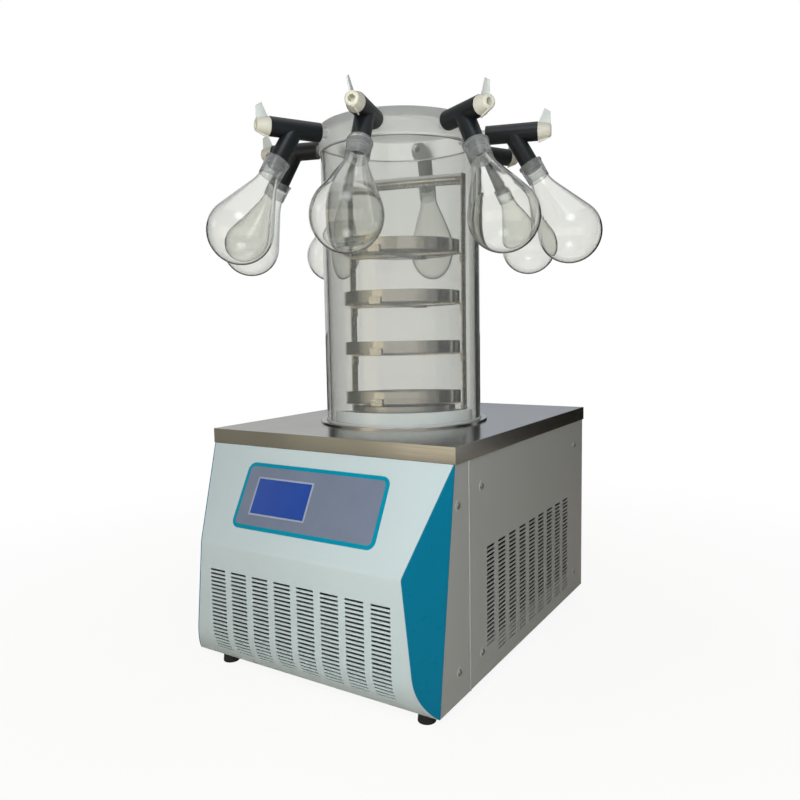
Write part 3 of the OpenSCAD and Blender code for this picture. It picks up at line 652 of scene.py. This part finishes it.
def on_slope(x, y):
    """A place on the sloping front: x to the right, y up from its top edge; Z is outwards."""
    lean = math.degrees(math.atan(FRONT_REACH / FRONT_FALL))
    return at(0, FRONT_Y, FRONT_Z) @ tilt(90 - lean, "X") @ at(x, y)


def on_panel(panel, x=0.0):
    """A place on the control panel: x to the right of its middle, Z outwards."""
    return on_slope(x, -PANEL_DOWN - in_mm(panel.height) / 2)


def display_middle(panel):
    """How far the display's middle is to the right of the panel's."""
    return -in_mm(panel.width) / 2 + DISPLAY_IN + DISPLAY_W / 2


def at_port(number):
    """A port's place: X outwards along the valve's axis, Z up."""
    apart = 360 / len(PORTS)
    return tilt(FIRST_PORT + apart * (number - 1) - 90, "Z") @ at(z=PORT_Z)


def on_branch(number):
    """A branch's place: Z runs down the branch from the valve's axis."""
    return at_port(number) @ at(BRANCH_AT) @ tilt(BRANCH_TURN, "Y")


# Pieces


def cut_border(bm, rim):
    """Leaves only a border as wide as rim of a flat sheet."""
    ring = bmesh.ops.inset_region(
        bm, faces=bm.faces[:], thickness=rim * MM, use_even_offset=True, use_boundary=True
    )
    field = [face for face in bm.faces if face not in set(ring["faces"])]
    bmesh.ops.delete(bm, geom=field, context="FACES")


def cut_window(bm, middle, w, h):
    """Cuts a window w wide and h high out of a flat sheet, to the right of its middle."""
    left, right, low, high = middle - w / 2, middle + w / 2, -h / 2, h / 2
    cuts = [((x, 0), (1, 0)) for x in (left, right)] + [((0, y), (0, 1)) for y in (low, high)]
    for point, way in cuts:
        bmesh.ops.bisect_plane(
            bm,
            geom=bm.verts[:] + bm.edges[:] + bm.faces[:],
            plane_co=(point[0] * MM, point[1] * MM, 0),
            plane_no=(*way, 0),
        )
    window = []
    for face in bm.faces:
        centre = face.calc_center_median() / MM
        if left < centre.x < right and low < centre.y < high:
            window.append(face)
    bmesh.ops.delete(bm, geom=window, context="FACES")


def make_panel(panel):
    """The membrane panel: a coloured border round a grey film with a window."""
    w, h = in_mm(panel.width), in_mm(panel.height)
    corner, rim = in_mm(panel.corner), in_mm(panel.border)
    border = rounded_sheet(w, h, corner)
    cut_border(border, rim)
    raise_face(border, border.faces[:], 0.85)
    move(border, on_panel(panel))
    new_piece("panel_border", border, "membrane_border")

    play = 0.1
    film = rounded_sheet(w - 2 * rim, h - 2 * rim, corner - rim)
    cut_window(film, display_middle(panel), DISPLAY_W + 2 * play, DISPLAY_H + 2 * play)
    raise_face(film, film.faces[:], 1.0)
    move(film, on_panel(panel))
    new_piece("panel_film", film, "membrane_film", ["control_overlay"])


def make_display(panel):
    """The display: a pale frame round a glossy blue screen, and its body behind."""
    middle = on_panel(panel, display_middle(panel))
    rim, play = 2.6, 0.05
    body_deep, body_less = 8, 10
    edge = rounded_sheet(DISPLAY_W, DISPLAY_H, 2)
    cut_border(edge, rim)
    raise_face(edge, edge.faces[:], 1.5)
    round_edges(edge, sharp_edges(edge, 60), 0.3)
    move(edge, middle)
    new_piece("display_frame", edge, "display_frame", ["display"])

    inner = 2 * (rim - play)
    screen = rounded_sheet(DISPLAY_W - inner, DISPLAY_H - inner, 1)
    raise_face(screen, screen.faces[:], 1.1)
    new_piece("display_screen", move(screen, middle), "display_blue")

    body = rounded_sheet(DISPLAY_W - body_less, DISPLAY_H - body_less, 1)
    raise_face(body, body.faces[:], body_deep)
    new_piece("display_body", move(body, middle @ at(z=-body_deep)), "fan_plastic")


def make_flask(number, glass):
    """A pear-shaped flask: round bulb, cone that touches it, straight neck."""
    bulb, neck = in_mm(glass.bulb) / 2, in_mm(glass.neck) / 2
    mouth, shoulder, middle = 74, 94, 187  # down the branch
    run = middle - shoulder
    rise = math.asin(bulb / math.hypot(run, neck)) - math.atan(neck / run)
    bm = bmesh.new()
    pole = bm.verts.new((0, 0, (middle + bulb) * MM))
    arc = bmesh.ops.spin(
        bm,
        geom=[pole],
        cent=(0, 0, middle * MM),
        axis=(0, 1, 0),
        angle=math.radians(90) + rise,
        steps=30,
        use_merge=False,
        use_duplicate=False,
    )
    touch = next(g for g in arc["geom_last"] if isinstance(g, bmesh.types.BMVert))
    bend = bm.verts.new((neck * MM, 0, shoulder * MM))
    brim = bm.verts.new((neck * MM, 0, mouth * MM))
    bm.edges.new((touch, bend))
    bm.edges.new((bend, brim))
    round_corners(bm, [bend], 14, 8)
    spin_full(bm, 72)
    thicken(bm, in_mm(glass.wall))
    move(bm, on_branch(number))
    new_piece(f"flask_glass_{number}", bm, "flask_glass", [f"flask_{number}"], sharp=60)


def make_collar():
    """One soft collar, from its wide rolled edge down to the flask's neck."""
    top, rim, waist, step, foot = 58, 62, 63, 69.9, 89  # down the branch
    bore_top, bore_low = 14.6, 15.6
    outer, outer_waist, outer_foot = 19.6, 18.5, 17.6
    outline = [
        (bore_top, top), (outer, top), (outer, rim), (outer_waist, waist), (outer_foot, foot),
        (bore_low, foot), (bore_low, step), (bore_top, step),
    ]
    return turned(outline, [(0.8, (1, 2)), (0.6, (4,))], 64, closed=True)


def make_knob(number):
    """The valve's knob: a blunt cone with a fin above, a rib below and a bored plug behind."""
    back, head, tip = 180, 232.4, 253.4  # along the valve
    plug, brim, nose, bore, bore_deep = 10.95, 14.5, 10, 5, 14.7
    outline = [
        (0, back), (plug, back), (plug, head), (brim, head),
        (nose, tip), (bore, tip), (bore, tip - bore_deep), (0, tip - bore_deep),
    ]
    cone = turned(outline, [(0.6, (3,)), (2.6, (4,)), (1.0, (5,))], 56)
    move(cone, tilt(90, "Y"))

    thick, root, inner, outer = 2.4, 7.5, head + 0.6, tip - 1.2
    fin_inner, peak, fin_outer, peak_at = 13.5, 35, 29, head + 10.5
    rib_inner, rib_outer = -18.5, -11
    fin = plate(
        [(inner, root), (outer, root), (outer, fin_outer), (peak_at, peak), (inner, fin_inner)],
        thick,
    )
    rib = plate([(inner, -root), (inner, rib_inner), (outer, rib_outer), (outer, -root)], thick)
    for blade in (fin, rib):
        move(blade, at(z=-thick / 2))
        round_edges(blade, sharp_edges(blade, 20), 0.7)
        move(blade, tilt(90, "X"))

    opened = 12 if number == 1 else 0  # degrees
    place = at_port(number) @ tilt(opened, "X")
    cap = move(joined([cone, rib]), place)
    body = f"knob_{number}"
    new_piece(f"knob_cap_{number}", cap, "knob_plastic", [f"valve_knob_{number}"], body)
    new_piece(f"knob_fin_{number}", move(fin, place), "fin_plastic", (), body)


def make_tray(number):
    """A round tray with a bent-up rim."""
    radius = ends(f"tray_{number}", X)[1]
    floor, rim = ends(f"tray_{number}", Z)
    pan = turned([(0, floor), (radius, floor), (radius, rim)], [(1.6, (1,))], 128)
    thicken(pan, 1)
    new_piece(f"tray_pan_{number}", pan, "tray_steel", [f"tray_{number}"])


def make_chamber():
    """The chamber's clear wall."""
    wall = 8
    outer = ends("chamber_tube", X)[1]
    foot, top = ends("chamber_tube", Z)
    inner = outer - wall
    outline = [(inner, foot), (outer, foot), (outer, top), (inner, top)]
    tube = turned(outline, [(0.8, (0, 1, 2, 3))], 160, closed=True)
    new_piece("chamber_wall", tube, "clear_acrylic", ["chamber_tube"])


def make_trap_collar():
    """The white ring on the trap's flange: a flat foot with a wall at its outer edge."""
    bore, wall, thick = 101, 6, 3
    outer = ends("trap_ring", X)[1]
    bottom, top = ends("trap_ring", Z)
    inner, foot = outer - wall, bottom + thick
    outline = [
        (bore, bottom), (outer, bottom), (outer, top), (inner, top), (inner, foot), (bore, foot)
    ]
    rounds = [(1.8, (2, 3)), (0.5, (0, 1, 5)), (1.5, (4,))]
    ring = turned(outline, rounds, 160, closed=True)
    new_piece("trap_collar", ring, "ring_plastic", ["trap_ring"])


def make_lid():
    """The clear lid with its ports, its rims rounded."""
    lid = copy_of("manifold_lid")
    round_edges(lid, outer_edges(lid, (Z,)), 1.0, 3)
    new_piece("lid_body", lid, "lid_acrylic", ["manifold_lid"], sharp=32)


# Steps


class DRYER_OT_cabinet(Operator):
    """Roll the edges of the cabinet's sheets and set its screws"""

    bl_idname = "dryer.cabinet"
    bl_label = "Cabinet"

    def execute(self, context):
        edge = look("cabinet").edge / MM
        screws = screw_places()
        dress("worktop", edge * 1.4)
        dress("fascia", edge, (X, Z))
        rims = {sheet: [move(dimple(), place) for place in screws[sheet]] for sheet in screws}
        dress("side_panel_left", edge * 1.5, (Y, Z), [lip(-1), *rims["side_panel_left"]])
        dress("side_panel_right", edge * 1.5, (Y, Z), [lip(1), *rims["side_panel_right"]])
        dress("rear_panel", edge * 1.5, (X, Z), rims["rear_panel"])
        heads = [move(screw_head(), place) for places in screws.values() for place in places]
        new_piece("screw_heads", joined(heads), "screw_steel", ["panel_screws"])
        for node in ("cheek_left", "cheek_right"):
            dress(node, edge)
        dress("feet", 1.6)
        dress("base_pan", 0.4)
        return {"FINISHED"}


class DRYER_OT_valves(Operator):
    """Round the edges of the rubber valves"""

    bl_idname = "dryer.valves"
    bl_label = "Valves"

    def execute(self, context):
        dress("valve_bodies", 0.8)
        return {"FINISHED"}


class DRYER_OT_rack(Operator):
    """Round the edges of the rack's frame and supports"""

    bl_idname = "dryer.rack"
    bl_label = "Rack"

    def execute(self, context):
        dress("rack_frame", 0.5)
        for number in LEVELS:
            dress(f"rack_support_{number}", 0.3)
        return {"FINISHED"}


class DRYER_OT_panel(Operator):
    """Lay the control panel and its display on the front"""

    bl_idname = "dryer.panel"
    bl_label = "Control panel"

    def execute(self, context):
        panel = look("panel")
        make_panel(panel)
        make_display(panel)
        return {"FINISHED"}


class DRYER_OT_flasks(Operator):
    """Blow the eight flasks and mould their collars"""

    bl_idname = "dryer.flasks"
    bl_label = "Flasks and collars"

    def execute(self, context):
        for number in PORTS:
            make_flask(number, look("glass"))
        collars = joined([move(make_collar(), on_branch(n)) for n in PORTS])
        new_piece("collars", collars, "collar_silicone", ["flask_collars"])
        return {"FINISHED"}


class DRYER_OT_knobs(Operator):
    """Mould the eight valve knobs"""

    bl_idname = "dryer.knobs"
    bl_label = "Valve knobs"

    def execute(self, context):
        for number in PORTS:
            make_knob(number)
        return {"FINISHED"}


class DRYER_OT_trays(Operator):
    """Press the four trays"""

    bl_idname = "dryer.trays"
    bl_label = "Trays"

    def execute(self, context):
        for number in LEVELS:
            make_tray(number)
        return {"FINISHED"}


class DRYER_OT_chamber(Operator):
    """Turn the clear chamber, its lid and the white ring on the trap"""

    bl_idname = "dryer.chamber"
    bl_label = "Chamber"

    def execute(self, context):
        make_chamber()
        make_trap_collar()
        make_lid()
        return {"FINISHED"}


class DRYER_OT_finishes(Operator):
    """Give every part its finish"""

    bl_idname = "dryer.finishes"
    bl_label = "Finishes"

    def execute(self, context):
        FINISHES.update(make_finishes())
        for name, part in frame["nodes"].items():
            part.data.materials.clear()
            part.data.materials.append(FINISHES[slot_of(name)])
        return {"FINISHED"}


class DRYER_OT_stage(Operator):
    """Lay the floor, hang the lamps and set the camera"""

    bl_idname = "dryer.stage"
    bl_label = "Stage"

    def execute(self, context):
        stage = look("stage")
        lay_floor(stage)
        light_sky(stage)
        hang_lamps(stage)
        stand_cards()
        set_camera()
        context.scene.view_settings.view_transform = "Standard"
        return {"FINISHED"}


# The studio


def stage_piece(name, bm, material):
    """Adds a surface that belongs to the studio and not to the dryer."""
    mesh = bpy.data.meshes.new(name)
    bm.to_mesh(mesh)
    bm.free()
    mesh.materials.append(material)
    surface = bpy.data.objects.new(name, mesh)
    bpy.context.scene.collection.objects.link(surface)
    return surface


def worked_out(tree, way, a, b):
    """What a Math node's operation, named by way, makes of two values in a material."""
    node = tree.nodes.new("ShaderNodeMath")
    node.operation = way
    for socket, value in zip(node.inputs, (a, b)):
        if isinstance(value, float):
            socket.default_value = value
        else:
            tree.links.new(value, socket)
    return node.outputs[0]


def seen(tree):
    """1 for rays that come from the eye, from metal or through glass, else 0."""
    rays = tree.nodes.new("ShaderNodeLightPath").outputs
    shiny = worked_out(tree, "MAXIMUM", rays["Is Glossy Ray"], rays["Is Transmission Ray"])
    return worked_out(tree, "MAXIMUM", shiny, rays["Is Camera Ray"])


def lay_floor(stage):
    """A pale floor that keeps the dryer's shadow and fades to white far away."""
    bm = bmesh.new()
    bmesh.ops.create_grid(bm, x_segments=1, y_segments=1, size=12)
    paper = Finish("floor_paper", stage.floor, 0.8, Specular_IOR_Level=0.1)
    coordinates = paper.tree.nodes.new("ShaderNodeTexCoord")
    away = paper.tree.nodes.new("ShaderNodeVectorMath")
    away.operation = "LENGTH"
    paper.join(coordinates.outputs["Object"], away.inputs[0])
    white = paper.spread(away.outputs["Value"], 0.9, 1.0, 0.4, 1.4)
    share = worked_out(paper.tree, "MULTIPLY", seen(paper.tree), white)
    glow = paper.tree.nodes.new("ShaderNodeEmission")
    glow.inputs["Color"].default_value = (1, 1, 1, 1)
    mix = paper.tree.nodes.new("ShaderNodeMixShader")
    paper.join(share, mix.inputs["Fac"])
    paper.join(paper.shader.outputs[0], mix.inputs[1])
    paper.join(glow.outputs[0], mix.inputs[2])
    paper.join(mix.outputs[0], paper.output.inputs["Surface"])
    stage_piece("floor", bm, paper.material)


def light_sky(stage):
    """A white backdrop that lights softly."""
    world = bpy.data.worlds.new("studio")
    bpy.context.scene.world = world
    world.use_nodes = True
    tree = world.node_tree
    tree.nodes.clear()
    output = tree.nodes.new("ShaderNodeOutputWorld")
    soft = tree.nodes.new("ShaderNodeBackground")
    soft.inputs["Strength"].default_value = stage.ambient
    white = tree.nodes.new("ShaderNodeBackground")
    white.inputs["Strength"].default_value = 1.0
    for sky in (soft, white):
        sky.inputs["Color"].default_value = (1, 1, 1, 1)
    mix = tree.nodes.new("ShaderNodeMixShader")
    tree.links.new(seen(tree), mix.inputs["Fac"])
    tree.links.new(soft.outputs[0], mix.inputs[1])
    tree.links.new(white.outputs[0], mix.inputs[2])
    tree.links.new(mix.outputs[0], output.inputs["Surface"])


def facing_dryer(place):
    """A place from which -Z looks at the middle of the dryer."""
    way = Vector((0, 0, 0.35)) - Vector(place)
    return Matrix.Translation(place) @ way.to_track_quat("-Z", "Y").to_matrix().to_4x4()


def hang_lamp(name, place, size, watts, colour):
    """A soft lamp that only lights: metal and glass show the cards in its place."""
    lamp = bpy.data.lights.new(name, "AREA")
    lamp.shape = "RECTANGLE"
    lamp.size, lamp.size_y = size
    lamp.energy = watts
    lamp.color = colour
    holder = bpy.data.objects.new(name, lamp)
    bpy.context.scene.collection.objects.link(holder)
    holder.matrix_world = facing_dryer(place)
    for ray in ("camera", "glossy", "transmission"):
        setattr(holder, "visible_" + ray, False)


def hang_lamps(stage):
    """A cool lamp in front on the right, a warm one low on the left, and white ones behind
    and at the left side."""
    cool, warm, white = (0.92, 0.98, 1.0), (1.0, 0.85, 0.66), (1.0, 1.0, 1.0)
    hang_lamp("key_lamp", (0.6, -1.1, 0.85), (0.9, 0.6), stage.key, cool)
    hang_lamp("fill_lamp", (-1.3, -1.8, 0.3), (0.9, 0.5), stage.fill, warm)
    hang_lamp("rear_lamp", (-0.5, 2.4, 1.6), (1.6, 0.8), stage.rear, white)
    hang_lamp("left_lamp", (-2.3, 0.5, 0.9), (1.0, 0.8), 0.5 * stage.rear, white)


def hang_card(name, bm, tone, centre=None, reach=1.0):
    """A card that only shows in reflections. With a centre, it fades out at reach from it."""
    card = Finish(name, (0, 0, 0), 1.0)
    path = card.tree.nodes.new("ShaderNodeLightPath")
    glow = card.tree.nodes.new("ShaderNodeEmission")
    glow.inputs["Color"].default_value = (*[min(1, c / max(tone)) for c in tone], 1)
    glow.inputs["Strength"].default_value = max(tone)
    gone = card.tree.nodes.new("ShaderNodeBsdfTransparent")
    mix = card.tree.nodes.new("ShaderNodeMixShader")
    shown = worked_out(card.tree, "GREATER_THAN", path.outputs["Glossy Depth"], 0.5)
    if centre:
        coordinates = card.tree.nodes.new("ShaderNodeTexCoord")
        away = card.tree.nodes.new("ShaderNodeVectorMath")
        away.operation = "DISTANCE"
        away.inputs[1].default_value = centre
        card.join(coordinates.outputs["Object"], away.inputs[0])
        soft = card.spread(away.outputs["Value"], 1.0, 0.0, 0.35 * reach, reach)
        shown = worked_out(card.tree, "MULTIPLY", shown, soft)
    card.join(shown, mix.inputs["Fac"])
    card.join(gone.outputs[0], mix.inputs[1])
    card.join(glow.outputs[0], mix.inputs[2])
    card.join(mix.outputs[0], card.output.inputs["Surface"])
    surface = stage_piece(name, bm, card.material)
    for ray in ("camera", "diffuse", "volume_scatter", "shadow"):
        setattr(surface, "visible_" + ray, False)


def flat_card(name, place, size, tone, soft=True):
    """A flat card that faces the dryer. A soft one fades out at size from its middle."""
    bm = bmesh.new()
    bmesh.ops.create_grid(bm, x_segments=1, y_segments=1, size=size)
    hang_card(name, move(bm, facing_dryer(place)), tone, place if soft else None, size)


def stand_card(name, start, end, low, high, tone, far=2.0):
    """A curved card round the dryer: bearings in degrees, heights and distance in metres."""
    bm = bmesh.new()
    turn = Matrix.Rotation(math.radians(start), 4, "Z")
    foot, head = (bm.verts.new(turn @ Vector((far, 0, z))) for z in (low, high))
    bm.edges.new((foot, head))
    bmesh.ops.spin(
        bm,
        geom=bm.verts[:] + bm.edges[:],
        cent=(0, 0, 0),
        axis=(0, 0, 1),
        angle=math.radians(end - start),
        steps=16,
        use_merge=False,
        use_duplicate=False,
    )
    hang_card(name, bm, tone)


def stand_cards():
    """What the steel and the glass reflect: a bright front, dark sides and a pale wall behind."""
    dark, grey = (0.02, 0.018, 0.015), (0.3, 0.3, 0.3)
    stand_card("front_card", -95, -30, 0, 1.0, (0.88, 0.84, 0.79))
    stand_card("pale_card", -30, -12, 0, 1.0, (0.6, 0.58, 0.54))
    stand_card("corner_card", -116, -95, 0, 1.0, (1.45, 1.3, 1.0))
    stand_card("half_card", -128, -116, 0, 1.0, (0.6, 0.57, 0.44))
    stand_card("shade_card", -150, -128, 0, 1.0, (0.36, 0.34, 0.27))
    stand_card("side_card", 12, 44, 0, 1.2, dark)
    stand_card("streak_card", 44, 54, 0, 1.2, (0.7, 0.7, 0.68))
    stand_card("right_card", 54, 98, 0, 1.2, dark)
    stand_card("low_card", 98, 160, 0, 0.5, dark)
    stand_card("window_card", 98, 125, 0.5, 2.2, (0.52, 0.55, 0.6))
    stand_card("wall_card", 125, 160, 0.5, 2.2, (0.66, 0.67, 0.67))
    stand_card("left_card", 160, 212, 0, 1.2, dark)
    stand_card("room_card", 0, 360, 0, 2.8, grey, far=2.6)
    flat_card("room_top_card", (0, 0, 2.8), 3, grey, soft=False)
    flat_card("table_card", (0, 0, 0.5 * MM), 3, (0.24, 0.22, 0.19), soft=False)
    flat_card("ceiling_card", (0, 0, 2.4), 1.1, (1.0, 1.02, 1.05), soft=False)
    flat_card("key_window", (0.75, -1.2, 2.0), 0.65, (4.0, 4.1, 4.3))
    flat_card("fill_window", (-1.6, -1.2, 1.1), 0.5, (1.3, 1.35, 1.5))


def set_camera():
    """Stands the camera in front, a little to the right and above the worktop."""
    lens = bpy.data.cameras.new("camera")
    lens.sensor_width = 36
    lens.lens = 32.3
    lens.clip_end = 100
    camera = bpy.data.objects.new("camera", lens)
    bpy.context.scene.collection.objects.link(camera)
    yaw, pitch, roll = math.radians(32.07), math.radians(5.5), math.radians(-1.02)
    ahead = Vector(
        (-math.sin(yaw) * math.cos(pitch), math.cos(yaw) * math.cos(pitch), -math.sin(pitch))
    )
    right = Vector((math.cos(yaw), math.sin(yaw), 0))
    up = right.cross(ahead)
    side = math.cos(roll) * right + math.sin(roll) * up
    top = -math.sin(roll) * right + math.cos(roll) * up
    turn = Matrix((side, top, -ahead)).transposed().to_4x4()
    camera.matrix_world = Matrix.Translation((0.662, -1.069, 0.5245)) @ turn
    bpy.context.scene.camera = camera


class DRYER_PT_sidebar(Panel):
    """Sizes, colours and steps of the freeze dryer"""

    bl_idname = "DRYER_PT_sidebar"
    bl_label = "Freeze Dryer"
    bl_space_type = "VIEW_3D"
    bl_region_type = "UI"
    bl_category = "Freeze Dryer"

    def draw(self, context):
        for name, group in LOOKS.items():
            box = self.layout.box()
            box.label(text=name.capitalize())
            for value in group.__annotations__:
                box.prop(look(name), value)
        for step in STEPS:
            self.layout.operator(step.bl_idname)


LOOKS = {
    "cabinet": CabinetLook,
    "panel": PanelLook,
    "manifold": ManifoldLook,
    "glass": GlassLook,
    "stage": StageLook,
}
STEPS = (
    DRYER_OT_finishes,
    DRYER_OT_cabinet,
    DRYER_OT_valves,
    DRYER_OT_rack,
    DRYER_OT_panel,
    DRYER_OT_flasks,
    DRYER_OT_knobs,
    DRYER_OT_trays,
    DRYER_OT_chamber,
    DRYER_OT_stage,
)
CLASSES = (*LOOKS.values(), *STEPS, DRYER_PT_sidebar)


def register():
    for each in CLASSES:
        bpy.utils.register_class(each)
    for name, group in LOOKS.items():
        setattr(bpy.types.Scene, "dryer_" + name, PointerProperty(type=group))


def unregister():
    for name in LOOKS:
        delattr(bpy.types.Scene, "dryer_" + name)
    for each in reversed(CLASSES):
        bpy.utils.unregister_class(each)


def main():
    register()
    for step in STEPS:
        group, name = step.bl_idname.split(".")
        getattr(getattr(bpy.ops, group), name)()


if __name__ == "__main__":
    main()
